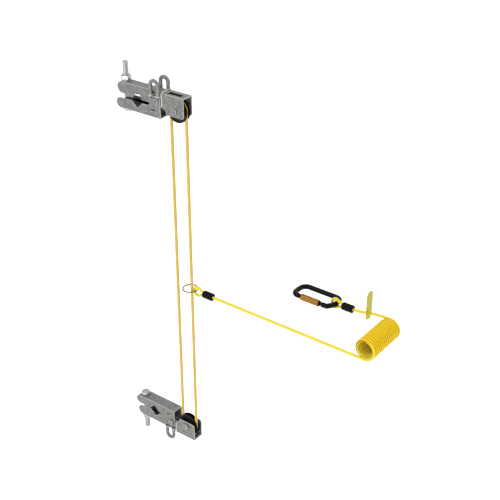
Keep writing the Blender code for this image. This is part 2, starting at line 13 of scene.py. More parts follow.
import bmesh
import bpy
import numpy as np
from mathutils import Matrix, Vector


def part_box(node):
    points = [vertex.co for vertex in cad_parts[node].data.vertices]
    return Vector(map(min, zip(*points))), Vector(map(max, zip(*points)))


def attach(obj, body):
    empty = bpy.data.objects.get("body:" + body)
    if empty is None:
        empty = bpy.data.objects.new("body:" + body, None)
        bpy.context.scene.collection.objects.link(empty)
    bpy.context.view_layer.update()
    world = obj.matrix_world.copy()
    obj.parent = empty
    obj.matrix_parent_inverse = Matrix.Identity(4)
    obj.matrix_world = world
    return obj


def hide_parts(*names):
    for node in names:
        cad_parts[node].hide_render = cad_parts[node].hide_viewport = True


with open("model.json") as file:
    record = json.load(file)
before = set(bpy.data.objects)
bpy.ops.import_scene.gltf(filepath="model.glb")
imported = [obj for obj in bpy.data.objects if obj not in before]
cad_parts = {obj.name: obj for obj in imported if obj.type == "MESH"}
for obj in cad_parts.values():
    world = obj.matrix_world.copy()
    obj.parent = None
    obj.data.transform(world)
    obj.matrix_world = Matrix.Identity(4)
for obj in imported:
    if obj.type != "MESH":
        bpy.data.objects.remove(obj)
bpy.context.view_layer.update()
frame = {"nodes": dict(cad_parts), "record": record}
NODES = frame["nodes"]
BODY_OF = {node: body for body, nodes in frame["record"]["behaviour"]["bodies"].items() for node in nodes}
SLOT_OF = {row["node"]: row["material_slot"] for row in frame["record"]["subparts"]}
MM = 0.001
TAU = 2 * pi
YARNS_ROUND = 6  # yarns of one set that a section of braid cuts
TONE_ENDS = (0.25, 0.75)  # share of a pattern at which the dark tone ends and the light one starts
BUMP_STRENGTH = 0.6
HEX_CORNER = 1.16  # a radius just past a hexagon's corners, over half its width
HEX_SIDES = 72
HEX_SHARP = radians(25)
log = logging.getLogger("rope_loop_line")


# ---------------------------------------------------------------- materials


def linear(code: str) -> tuple[float, float, float, float]:
    """Turn an sRGB hex code into a linear colour.

    Args:
        code: six hex digits with a leading #.

    Returns:
        Linear red, green and blue, and an alpha of 1.
    """
    raw = np.array([int(code[i : i + 2], 16) for i in (1, 3, 5)]) / 255
    low, high = raw / 12.92, ((raw + 0.055) / 1.055) ** 2.4
    return (*np.where(raw <= 0.04045, low, high).tolist(), 1.0)


def add_node(
    tree: bpy.types.NodeTree, kind: str, links: dict | None = None, **settings: object
) -> bpy.types.Node:
    """Add a node with its settings, values and links.

    Args:
        tree: the node tree that gets the node.
        kind: the node's type name.
        links: socket name or index to a value, or to the output that feeds it.
        settings: the node's own properties.

    Returns:
        The new node.
    """
    node = tree.nodes.new(kind)
    for name, value in settings.items():
        setattr(node, name, value)
    for socket, value in (links or {}).items():
        if isinstance(value, bpy.types.NodeSocket):
            tree.links.new(value, node.inputs[socket])
        else:
            node.inputs[socket].default_value = value
    return node


class Pattern(Enum):
    """How a finish varies over the surface."""

    SPANGLE = "zinc crystals"
    MOTTLE = "soft cloudy variation"
    BRAID = "crossing yarns that follow the cord"
    # Painted shade: the colour darkens where wound turns touch, where shade falls between them.
    GROOVE_SHADE = "deeper colour where wound turns touch"


@dataclass(frozen=True)
class Finish:
    """One real material: its two tones, gloss and the size of its grain."""

    name: str
    dark: str
    light: str
    metallic: float
    roughness: tuple[float, float]
    grain_mm: float
    pattern: Pattern = Pattern.MOTTLE
    bump_mm: float = 0.02
    coat: float = 0.0
    specular: float = 0.5

    def _field(self, tree: bpy.types.NodeTree) -> bpy.types.NodeSocket:
        """Make the 0 to 1 pattern that tone and gloss follow.

        Args:
            tree: the material's node tree.

        Returns:
            The pattern's socket.
        """
        if self.pattern is Pattern.BRAID:
            return self._braid(tree)
        if self.pattern is Pattern.GROOVE_SHADE:
            return self._painted_groove_shade(tree)
        place = add_node(tree, "ShaderNodeTexCoord").outputs["Object"]
        scale = 1 / (self.grain_mm * MM)
        if self.pattern is Pattern.SPANGLE:
            cells = add_node(tree, "ShaderNodeTexVoronoi", {"Vector": place, "Scale": scale})
            return add_node(tree, "ShaderNodeSeparateColor", {0: cells.outputs["Color"]}).outputs[0]
        return add_node(
            tree, "ShaderNodeTexNoise", {"Vector": place, "Scale": scale, "Detail": 4.0}
        ).outputs[0]

    def _braid(self, tree: bpy.types.NodeTree) -> bpy.types.NodeSocket:
        """Make the height of two sets of yarns that cross: the product of two slanted sines. The tone
        follows it, so the low gaps get painted shade.

        The UV map gives millimetres along the cord as U and turns round it as V.

        Args:
            tree: the material's node tree.

        Returns:
            The height's socket, from 0 to 1.
        """
        run = add_node(tree, "ShaderNodeUVMap", uv_map="run").outputs[0]
        parts = add_node(tree, "ShaderNodeSeparateXYZ", {0: run}).outputs
        waves = []
        for lean in (1, -1):
            pace = {0: parts[0], 1: TAU / self.grain_mm}
            along = add_node(tree, "ShaderNodeMath", pace, operation="MULTIPLY")
            sources = {0: parts[1], 1: lean * TAU * YARNS_ROUND, 2: along.outputs[0]}
            slant = add_node(tree, "ShaderNodeMath", sources, operation="MULTIPLY_ADD").outputs[0]
            waves.append(add_node(tree, "ShaderNodeMath", {0: slant}, operation="SINE").outputs[0])
        crossed = add_node(tree, "ShaderNodeMath", dict(enumerate(waves)), operation="MULTIPLY").outputs[0]
        return add_node(tree, "ShaderNodeMapRange", {0: crossed, 1: -1.0, 2: 1.0, 3: 0.0, 4: 1.0}).outputs[0]

    def _painted_groove_shade(self, tree: bpy.types.NodeTree) -> bpy.types.NodeSocket:
        """Make the painted groove shade: 0 where a turn touches the next and 1 on its back, the size of cos
        of the angle round it.

        Args:
            tree: the material's node tree.

        Returns:
            The pattern's socket.
        """
        run = add_node(tree, "ShaderNodeUVMap", uv_map="run").outputs[0]
        turn = add_node(tree, "ShaderNodeSeparateXYZ", {0: run}).outputs[1]
        angle = add_node(tree, "ShaderNodeMath", {0: turn, 1: TAU}, operation="MULTIPLY").outputs[0]
        back = add_node(tree, "ShaderNodeMath", {0: angle}, operation="COSINE").outputs[0]
        return add_node(tree, "ShaderNodeMath", {0: back}, operation="ABSOLUTE").outputs[0]

    def build(self) -> bpy.types.Material:
        """Make the material, whose tone, gloss and bump all follow one pattern.

        Returns:
            The material.
        """
        made = bpy.data.materials.new(self.name)
        made.use_nodes = True
        tree = made.node_tree
        shader = tree.nodes["Principled BSDF"]
        spread = self._field(tree)
        tree.links.new(self._tone(tree, spread), shader.inputs["Base Color"])
        ends = {0: spread, 3: self.roughness[0], 4: self.roughness[1]}
        gloss = add_node(tree, "ShaderNodeMapRange", ends)
        tree.links.new(gloss.outputs[0], shader.inputs["Roughness"])
        shader.inputs["Metallic"].default_value = self.metallic
        shader.inputs["Coat Weight"].default_value = self.coat
        shader.inputs["Specular IOR Level"].default_value = self.specular
        height = {"Height": spread, "Distance": self.bump_mm * MM, "Strength": BUMP_STRENGTH}
        bump = add_node(tree, "ShaderNodeBump", height)
        tree.links.new(bump.outputs[0], shader.inputs["Normal"])
        return made

    def _tone(self, tree: bpy.types.NodeTree, spread: bpy.types.NodeSocket) -> bpy.types.NodeSocket:
        """Make the colour that runs from the dark tone to the light one.

        Args:
            tree: the material's node tree.
            spread: the pattern that it follows.

        Returns:
            The colour's socket.
        """
        ramp = add_node(tree, "ShaderNodeValToRGB", {0: spread})
        for element, place, tone in zip(ramp.color_ramp.elements, TONE_ENDS, (self.dark, self.light)):
            element.position = place
            element.color = linear(tone)
        return ramp.outputs[0]


FINISHES = (
    # Hot-dip zinc on pressed steel: a dull grey with faint crystals a few millimetres across.
    Finish("galvanised_steel", "#747472", "#888886", 0.5, (0.42, 0.58), 5.0, Pattern.SPANGLE, 0.012),
    # The same zinc where edges were sheared and rubbed: paler and a little smoother.
    Finish("galvanised_edge", "#b0b0ae", "#c4c4c2", 0.5, (0.34, 0.44), 4.0, bump_mm=0.01),
    # Weld metal under the zinc: pale, with a fine ripple.
    Finish("weld_metal", "#b2b2ae", "#d0d0cc", 0.5, (0.36, 0.5), 1.6, bump_mm=0.08),
    # Bright electroplated zinc on fasteners: clear reflections over a mid grey.
    Finish("bright_zinc", "#9c9c9a", "#b4b4b2", 0.9, (0.2, 0.32), 3.0, bump_mm=0.006),
    # Moulded nylon wheel: near black and satin.
    Finish("black_nylon", "#060606", "#0e0e0e", 0.0, (0.42, 0.55), 1.5, specular=0.2),
    # Sintered bronze bush: dull brown with an oily sheen.
    Finish("bronze_bush", "#8a6230", "#a87c40", 1.0, (0.3, 0.4), 2.0),
    # Braided polyester rope: 3 mm repeats, matt, ochre, with painted shade that darkens the gaps between the
    # yarns.
    Finish("ochre_rope", "#c8a03c", "#f4d26a", 0.0, (0.6, 0.8), 3.2, Pattern.BRAID, 0.25),
    # Chromed wire ring: a near mirror, a little dulled.
    Finish("chrome", "#686868", "#7c7c7c", 1.0, (0.1, 0.16), 4.0, bump_mm=0.004),
    # Polyurethane skin over the lanyard's core: smooth, saturated and slightly waxy.
    Finish("yellow_cord", "#e8d010", "#f2de1c", 0.0, (0.34, 0.44), 14.0, bump_mm=0.004, coat=0.1),
    # The same skin on the wound turns, with painted shade: dark orange where turns touch and yellow on their
    # backs.
    Finish(
        "yellow_cord_groove_shade", "#9c5a02", "#ffd800", 0.0, (0.5, 0.4), 6.4, Pattern.GROOVE_SHADE, 0.0, specular=0.25
    ),
    # Shrunk polyolefin sleeve: black and satin, with a slightly uneven skin.
    Finish("black_heatshrink", "#040406", "#0a0a0d", 0.0, (0.4, 0.52), 2.0, bump_mm=0.05, specular=0.08),
    # Flexible vinyl label: flat yellow-green.
    Finish("yellow_label", "#c0b81c", "#d0c828", 0.0, (0.4, 0.5), 6.0),
    # Anodised aluminium: the carabiner's black is glossy and the sleeve's bronze is brushed.
    Finish("black_anodised", "#020202", "#060606", 0.0, (0.24, 0.34), 2.0, bump_mm=0.006, specular=0.1),
    Finish("bronze_anodised", "#7c5618", "#9e7224", 0.7, (0.28, 0.4), 1.2, bump_mm=0.01),
)
MATERIALS = {finish.name: finish.build() for finish in FINISHES}


# ---------------------------------------------------------------- surfaces


def skin(name: str, grid: np.ndarray, ring_rows: bool = False, length_mm: float = 0.0) -> bpy.types.Object:
    """Make a closed mesh from a grid of points whose columns wrap round.

    A face joins each point to its neighbours one row and one column on. The ends are capped
    unless the rows wrap too. The UV map "run" holds millimetres along and turns round.

    Args:
        name: the object's name.
        grid: points, shaped rows by columns by 3.
        ring_rows: whether the last row joins the first.
        length_mm: the length that the rows cover, for the UV map.

    Returns:
        The object, with its faces pointing out.
    """
    rows, cols = grid.shape[:2]
    spans = rows if ring_rows else rows - 1
    i, j = np.meshgrid(np.arange(spans), np.arange(cols), indexing="ij")
    up, over = (i + 1) % rows, (j + 1) % cols
    quads = np.stack([i * cols + j, i * cols + over, up * cols + over, up * cols + j], -1).reshape(-1, 4)
    faces = quads.tolist()
    if not ring_rows:
        faces += [list(range(cols))[::-1], list(range((rows - 1) * cols, rows * cols))]
    mesh = bpy.data.meshes.new(name)
    mesh.from_pydata(grid.reshape(-1, 3).tolist(), [], faces)
    along = np.stack([i, i, i + 1, i + 1], -1).reshape(-1) * (length_mm / max(spans, 1))
    around = np.stack([j, j + 1, j + 1, j], -1).reshape(-1) / cols
    flat = np.zeros((len(mesh.loops), 2))
    flat[: len(along)] = np.stack([along, around], -1)
    mesh.uv_layers.new(name="run").data.foreach_set("uv", flat.ravel())
    return settle(bpy.data.objects.new(name, mesh))


def settle(obj: bpy.types.Object, sharp: float = 40.0) -> bpy.types.Object:
    """Merge doubled points, turn the faces outwards, shade smooth and link the object.

    Args:
        obj: a new mesh object.
        sharp: degrees between two faces past which their edge stays sharp.

    Returns:
        The same object.
    """
    work = bmesh.new()
    work.from_mesh(obj.data)
    bmesh.ops.remove_doubles(work, verts=work.verts, dist=1e-7)
    bmesh.ops.recalc_face_normals(work, faces=work.faces)
    work.to_mesh(obj.data)
    work.free()
    obj.data.shade_smooth()
    obj.data.set_sharp_from_angle(angle=radians(sharp))
    bpy.context.scene.collection.objects.link(obj)
    return obj


def sweep(
    name: str,
    path: np.ndarray,
    radius: float | np.ndarray,
    across: tuple[float, float, float],
    sides: int = 20,
    closed: bool = False,
) -> bpy.types.Object:
    """Carry a circle along a path.

    Each point is path + radius * (cos t * side + sin t * up), where side is the path's
    tangent crossed with the fixed direction across, and up is the side crossed with the tangent.

    Args:
        name: the object's name.
        path: points, shaped n by 3.
        radius: one radius, or one for each point, or an n by sides array.
        across: a direction that the path never runs along.
        sides: points round the circle.
        closed: whether the path ends where it starts.

    Returns:
        The tube.
    """
    if closed:
        tangent = np.roll(path, -1, 0) - np.roll(path, 1, 0)
        run = np.linalg.norm(np.roll(path, -1, 0) - path, axis=1).sum()
    else:
        tangent = np.gradient(path, axis=0)
        run = np.linalg.norm(np.diff(path, axis=0), axis=1).sum()
    tangent /= np.linalg.norm(tangent, axis=1, keepdims=True)
    side = np.cross(tangent, np.array(across))
    side /= np.linalg.norm(side, axis=1, keepdims=True)
    up = np.cross(side, tangent)
    angle = np.linspace(0, TAU, sides, endpoint=False)
    rows = np.reshape(radius, (-1, 1)) if np.ndim(radius) == 1 else radius
    reach = np.broadcast_to(rows, (len(path), sides))
    ring = np.cos(angle)[None, :, None] * side[:, None] + np.sin(angle)[None, :, None] * up[:, None]
    return skin(name, path[:, None] + reach[..., None] * ring, closed, run / MM)


def smooth_path(points: np.ndarray, step: float) -> np.ndarray:
    """Draw a Catmull-Rom curve through points, and space it evenly along its length.

    Between two points the curve is a cubic whose slope at each is half the step between its neighbours.

    Args:
        points: what the curve passes through, shaped n by 3.
        step: spacing of the result, in metres.

    Returns:
        Points on the curve, shaped m by 3.
    """
    ends = np.vstack([2 * points[0] - points[1], points, 2 * points[-1] - points[-2]])
    t = np.linspace(0, 1, 24, endpoint=False)[:, None]
    p0, p1, p2, p3 = ends[:-3, None], ends[1:-2, None], ends[2:-1, None], ends[3:, None]
    square = 2 * p0 - 5 * p1 + 4 * p2 - p3
    cube = 3 * p1 - p0 - 3 * p2 + p3
    curve = 0.5 * (2 * p1 + (p2 - p0) * t + square * t**2 + cube * t**3)
    curve = np.vstack([curve.reshape(-1, 3), points[-1]])
    run = np.concatenate([[0], np.cumsum(np.linalg.norm(np.diff(curve, axis=0), axis=1))])
    even = np.linspace(0, run[-1], max(3, round(run[-1] / step)))
    return np.stack([np.interp(even, run, curve[:, k]) for k in range(3)], 1)


def turned(
    name: str,
    profile: list[tuple[float, float]],
    centre: Vector,
    axis: str,
    ring: bool = False,
    sides: int = 56,
    shape: Callable[[np.ndarray, np.ndarray], np.ndarray] | None = None,
) -> bpy.types.Object:
    """Turn a profile of (radius, height) round an axis through a centre.

    Args:
        name: the object's name.
        profile: radius and height of each row, in metres.
        centre: where height 0 lies.
        axis: "X", "Y" or "Z".
        ring: whether the last row joins the first, for a piece with a bore.
        sides: points round the axis.
        shape: gives the radii from the rows' radii and the angles, both rows by sides.

    Returns:
        The turned piece.
    """
    rows = np.array(profile)
    angle = np.broadcast_to(np.linspace(0, TAU, sides, endpoint=False), (len(rows), sides))
    radius = np.broadcast_to(rows[:, :1], angle.shape)
    if shape:
        radius = shape(radius, angle)
    height = np.broadcast_to(rows[:, 1:], angle.shape)
    first, second = radius * np.cos(angle), radius * np.sin(angle)
    order = {"X": (height, first, second), "Y": (second, height, first), "Z": (first, second, height)}[axis]
    return skin(name, np.stack(order, -1) + np.array(centre), ring)


def rounded(inner: float, outer: float, half: float, edge: float) -> list[tuple[float, float]]:
    """Draw the profile of a flat ring whose outer rims are quarter circles.

    Args:
        inner: radius of the bore.
        outer: radius of the rim.
        half: half of the thickness.
        edge: radius of the quarter circles.

    Returns:
        Radius and height of each row.
    """
    turn = np.linspace(0, pi / 2, 5)
    top = [(outer - edge + edge * np.sin(a), half - edge + edge * np.cos(a)) for a in turn]
    return [(inner, half)] + top + [(r, -h) for r, h in reversed(top)] + [(inner, -half)]


def hexagon(across: float) -> Callable[[np.ndarray, np.ndarray], np.ndarray]:
    """Make a hexagon's limit: half its width over the cosine of the angle from a flat's middle.

    Args:
        across: width across the flats.

    Returns:
        A shape for turned, which cuts each radius to that limit.
    """

    def limit(radius: np.ndarray, angle: np.ndarray) -> np.ndarray:
        """Return the radii, none of them past the hexagon."""
        flat = (angle + pi / 6) % (pi / 3) - pi / 6
        return np.minimum(radius, across / 2 / np.cos(flat))

    return limit


def bevelled_copy(node: str, width: float = 0.5 * MM, segments: int = 2) -> bpy.types.Object:
    """Copy a CAD node, merge its triangles into flat faces and round its edges.

    Args:
        node: the CAD node's name.
        width: how far each rounding reaches from its edge.
        segments: faces across each rounding.

    Returns:
        The copy, with paler zinc on the rounded edges of galvanised pieces.
    """
    obj = bpy.data.objects.new(f"{node}_body", NODES[node].data.copy())
    work = bmesh.new()
    work.from_mesh(obj.data)
    bmesh.ops.remove_doubles(work, verts=work.verts, dist=1e-6)
    bmesh.ops.dissolve_limit(work, angle_limit=radians(1), verts=work.verts, edges=work.edges)
    work.to_mesh(obj.data)
    work.free()
    obj.data.shade_smooth()
    bpy.context.scene.collection.objects.link(obj)
    bevel = obj.modifiers.new("edges", "BEVEL")
    bevel.width = width
    bevel.segments = segments
    bevel.limit_method = "ANGLE"
    bevel.angle_limit = radians(38)
    bevel.use_clamp_overlap = False
    bevel.harden_normals = True
    bevel.material = 1 if SLOT_OF[node] == "galvanised_steel" else -1
    return obj


def fit(piece: bpy.types.Object, *nodes: str) -> bpy.types.Object:
    """Let a piece ride, replace its CAD nodes and take their finish.

    Args:
        piece: the new piece.
        nodes: the CAD nodes that it stands for, all on one body.

    Returns:
        The piece.
    """
    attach(piece, BODY_OF[nodes[0]])
    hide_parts(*nodes)
    return dress(piece, SLOT_OF[nodes[0]])


def weld(piece: bpy.types.Object) -> None:
    """Fix a weld bead to the root in its own finish.

    Args:
        piece: the bead.
    """
    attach(piece, "root")
    dress(piece, "galvanised_steel")
    piece.data.materials[0] = MATERIALS["weld_metal"]


def dress(piece: bpy.types.Object, slot: str) -> bpy.types.Object:
    """Give a piece one finish and name its slot.

    Args:
        piece: the new piece.
        slot: the record's material slot, which is also the finish's name.

    Returns:
        The piece.
    """
    piece.data.materials.clear()
    piece.data.materials.append(MATERIALS[slot])
    if slot == "galvanised_steel":
        piece.data.materials.append(MATERIALS["galvanised_edge"])
    log.info("%s made in %s", piece.name, slot)
    return piece


# ---------------------------------------------------------------- brackets


@dataclass
class Bracket:
    """One rung clamp with its pulley, built upright and turned over for the lower end."""

    prefix: str
    turned_over: bool
    bolt_radius: float = 6 * MM
    thread_pitch: float = 1.75 * MM
    thread_depth: float = 0.8 * MM
    thread_rows: int = 8
    plain_shank: float = 22 * MM
    tip_length: float = 1.0 * MM
    tip_inset: float = 1.3 * MM
    head_height: float = 7.5 * MM
    nut_across: float = 19 * MM
    nut_clearance: float = 0.25 * MM
    eye_rod: float = 4 * MM
    loop_radius: float = 19.5 * MM
    rope_radius: float = 3.25 * MM
    rope_clearance: float = 0.3 * MM
    bush_bore: float = 7.8 * MM
    bead_points: int = 64
    bevelled: dict[str, float] = field(
        default_factory=lambda: {
            "clamp_arm": 0.7 * MM,
            "swing_jaw": 0.7 * MM,
            "pulley_housing": 0.7 * MM,
            "pivot_pin": 0.8 * MM,
            "axle": 0.8 * MM,
            "pivot_collar": 0.5 * MM,
            "axle_collar": 0.5 * MM,
            "clamp_washer": 0.3 * MM,
            "pulley_bush": 0.2 * MM,
            "spacer_front": 0.3 * MM,
            "spacer_rear": 0.3 * MM,
        }
    )

    def node(self, name: str) -> str:
        """Return the full node name."""
        return f"{self.prefix}_{name}"

    def middle(self, name: str) -> Vector:
        """Return the centre of a node's box."""
        low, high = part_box(self.node(name))
        return (Vector(low) + Vector(high)) / 2

    def up(self) -> float:
        """Return 1 on the upper bracket and -1 on the one turned over."""
        return -1.0 if self.turned_over else 1.0

    def build(self) -> None:
        """Make and dress every piece of the bracket."""
        for name, width in self.bevelled.items():
            fit(bevelled_copy(self.node(name), width, 3), self.node(name))
        self.bolt()
        self.nut()
        self.pulley()
        for name in ("eye_front", "eye_rear"):
            self.eye(name)
        self.welds()

    def bolt(self) -> None:
        """Hexagon bolt with a rolled thread.

        The thread's radius is the bolt's, less the depth times a triangle wave of the height
        over the pitch, less the angle over one turn, so that it winds up as a helix.
        """
        low, high = (Vector(v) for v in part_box(self.node("clamp_bolt")))
        centre = (low + high) / 2
        half = (high.z - low.z) / 2
        up = self.up()
        head = self.head_height
        count = round((2 * half - head) / self.thread_pitch * self.thread_rows)
        rows = np.linspace(-half + head, half - self.tip_length, count)
        angle = np.linspace(0, TAU, 32, endpoint=False)
        wave = (rows[:, None] / self.thread_pitch - angle[None, :] / TAU) % 1
        cut_in = self.thread_depth * np.abs(2 * wave - 1)
        plain = (rows < -half + head + self.plain_shank)[:, None]
        radius = np.where(plain, self.bolt_radius, self.bolt_radius - cut_in)
        tip = np.full((1, len(angle)), self.bolt_radius - self.tip_inset)
        radius = np.vstack([radius, tip])
        height = np.append(rows, half)[:, None] * np.ones_like(radius)
        grid = np.stack([radius * np.cos(angle), radius * np.sin(angle) * up, height * up], -1)
        shank = skin(self.node("clamp_bolt_shank"), grid + np.array(centre))
        fit(shank, self.node("clamp_bolt"))
        self.bolt_head(centre, half)

    def bolt_head(self, centre: Vector, half: float) -> None:
        """Hexagon head, chamfered at both faces.

        Args:
            centre: the middle of the whole bolt.
            half: half of the bolt's length.
        """
        flat = self.nut_across / 2
        corner = flat * HEX_CORNER
        under = -half + self.head_height
        profile = [(0, -half), (flat * 0.96, -half), (corner, -half + 1.4 * MM)]
        profile += [(corner, under - 0.3 * MM), (flat * 1.1, under), (0, under)]
        flipped = [(r, h * self.up()) for r, h in profile]
        name = self.node("clamp_bolt_head")
        cap = turned(name, flipped, centre, "Z", shape=hexagon(self.nut_across), sides=HEX_SIDES)
        cap.data.set_sharp_from_angle(angle=HEX_SHARP)
        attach(cap, BODY_OF[self.node("clamp_bolt")])
        dress(cap, "bright_zinc")

    def nut(self) -> None:
        """Hexagon nut, chamfered on both faces and countersunk at its bore."""
        low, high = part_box(self.node("clamp_nut"))
        half = (high[2] - low[2]) / 2
        wide = self.nut_across / 2
        bore = self.bolt_radius + self.nut_clearance
        top = [(bore, half - 0.8 * MM), (bore + 0.8 * MM, half)]
        top += [(wide * 0.97, half), (wide * HEX_CORNER, half - 1.5 * MM)]
        profile = top + [(r, -h) for r, h in reversed(top)]
        name, flats = self.node("clamp_nut_body"), hexagon(self.nut_across)
        piece = turned(name, profile, self.middle("clamp_nut"), "Z", True, HEX_SIDES, flats)
        piece.data.set_sharp_from_angle(angle=HEX_SHARP)
        fit(piece, self.node("clamp_nut"))

    def pulley(self) -> None:
        """Grooved wheel with a half-round groove, rounded flanges and a dished web."""
        low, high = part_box(self.node("pulley"))
        half = (high[1] - low[1]) / 2
        outer = (high[0] - low[0]) / 2
        groove = self.rope_radius + self.rope_clearance
        bend, corner = np.linspace(0, pi, 17), np.linspace(0, pi / 2, 5)
        throat = [(self.loop_radius - groove * np.sin(a), groove * np.cos(a)) for a in bend]
        edge = 1.2 * MM
        lip = [(outer - edge + edge * np.sin(a), half - edge + edge * np.cos(a)) for a in corner]
        bore = self.bush_bore
        hub, hub_foot, rim_foot, rim, dish = (size * MM for size in (3, 3.6, 4.5, 3.8, 1))
        face = [(bore, half), (bore + hub, half), (bore + hub_foot, half - dish)]
        face += [(outer - rim_foot, half - dish), (outer - rim, half)]
        side = face + lip
        profile = side + throat + [(r, -h) for r, h in reversed(side)]
        wheel = turned(self.node("pulley_wheel"), profile, self.middle("pulley"), "Y", True, 96)
        fit(wheel, self.node("pulley"))

    def eye(self, name: str) -> None:
        """U-bent rod: a half circle on two straight legs, with a weld bead round each foot.

        Args:
            name: the eye's node, without the bracket's prefix.
        """
        low, high = (np.array(v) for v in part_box(self.node(name)))
        up = self.up()
        rod = self.eye_rod
        middle = (low + high) / 2
        spread = (high[0] - low[0]) / 2 - rod
        foot, crown = (low[2], high[2]) if up > 0 else (high[2], low[2])
        bend_z = crown - up * (rod + spread)
        angle = np.linspace(0, pi, 25)
        legs = np.linspace(foot, bend_z, 6)[:-1]
        right = np.stack([np.full_like(legs, middle[0] + spread), np.full_like(legs, middle[1]), legs], 1)
        x, z = middle[0] + spread * np.cos(angle), bend_z + up * spread * np.sin(angle)
        arch = np.stack([x, np.full_like(x, middle[1]), z], 1)
        path = np.vstack([right, arch, right[::-1] - (2 * spread, 0, 0)])
        fit(sweep(self.node(f"{name}_rod"), path, rod, (0, 1, 0), 24), self.node(name))
        for index, side in enumerate((-1, 1)):
            place = np.array([middle[0] + side * spread, middle[1], foot + up * 0.9 * MM])
            weld(self.bead(self.node(f"{name}_weld_{index}"), place, rod + 0.3 * MM))

    def bead(self, name: str, centre: np.ndarray, radius: float) -> bpy.types.Object:
        """Weld bead round a leg: a ring whose thickness ripples as a sine of the angle.

        Args:
            name: the bead's name.
            centre: the middle of the ring.
            radius: the ring's radius.

        Returns:
            The bead.
        """
        angle = np.linspace(0, TAU, 72, endpoint=False)
        path = centre + np.stack([radius * np.cos(angle), radius * np.sin(angle), np.zeros(72)], 1)
        thick, ripple, waves = 1.1 * MM, 0.18 * MM, 9
        return sweep(name, path, thick + ripple * np.sin(waves * angle), (0, 0, 1), 10, True)

    def welds(self) -> None:
        """Beads where the arm enters the housing, one down each of its edges and one across the web.

        Their thickness ripples as a sine of the length and tapers at both ends.
        """
        house_low, house_high = (np.array(v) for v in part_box(self.node("pulley_housing")))
        arm_low, arm_high = (np.array(v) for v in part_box(self.node("clamp_arm")))
        up = self.up()
        web = house_high[2] if up > 0 else house_low[2]
        edge = arm_low[2] if up > 0 else arm_high[2]
        along = np.linspace(0, 1, self.bead_points)
        thick, ripple, waves = 1.9 * MM, 0.3 * MM, 8
        blunt, taper = 0.45, 12
        swell = thick + ripple * np.sin(along * TAU * waves)
        swell *= np.minimum(1, np.minimum(along, 1 - along) * taper + blunt)
        x = np.full_like(along, house_low[0] - 0.6 * MM)
        z = web + (edge + up * 2 * MM - web) * along
        for side, y in (("front", house_low[1] + 0.4 * MM), ("rear", house_high[1] - 0.4 * MM)):
            path = np.stack([x + 2.2 * MM, np.full_like(along, y), z], 1)
            weld(sweep(self.node(f"weld_{side}"), path, swell, (0, 1, 0), 12))
        path = np.stack([x, arm_low[1] + (arm_high[1] - arm_low[1]) * along, np.full_like(along, web)], 1)
        weld(sweep(self.node("weld_web"), path, swell, (0, 0, 1), 12))


# ---------------------------------------------------------------- rope and lanyard


@dataclass
class LoopRope:
    """Endless braided rope round both pulleys."""

    radius: float = 3.25 * MM
    loop_radius: float = 19.5 * MM
    step: float = 2 * MM

    def build(self) -> None:
        """Two half circles joined by straight strands, and a circle carried round them."""
        low, high = (np.array(v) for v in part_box("loop_rope"))
        x = (low[0] + high[0]) / 2
        top, foot = (v + s * (self.loop_radius + self.radius) for v, s in ((high[2], -1), (low[2], 1)))
        arc = np.linspace(0, pi, 36)
        strand = np.linspace(top, foot, round((top - foot) / self.step))[1:-1]
        lobes = [
            np.stack([x + self.loop_radius * np.cos(arc), top + self.loop_radius * np.sin(arc)], 1),
            np.stack([np.full(len(strand), x - self.loop_radius), strand], 1),
            np.stack([x - self.loop_radius * np.cos(arc), foot - self.loop_radius * np.sin(arc)], 1),
            np.stack([np.full(len(strand), x + self.loop_radius), strand[::-1]], 1),
        ]
        flat = np.vstack(lobes)
        path = np.stack([flat[:, 0], np.zeros(len(flat)), flat[:, 1]], 1)
        fit(sweep("loop_rope_braid", path, self.radius, (0, 1, 0), 14, True), "loop_rope")


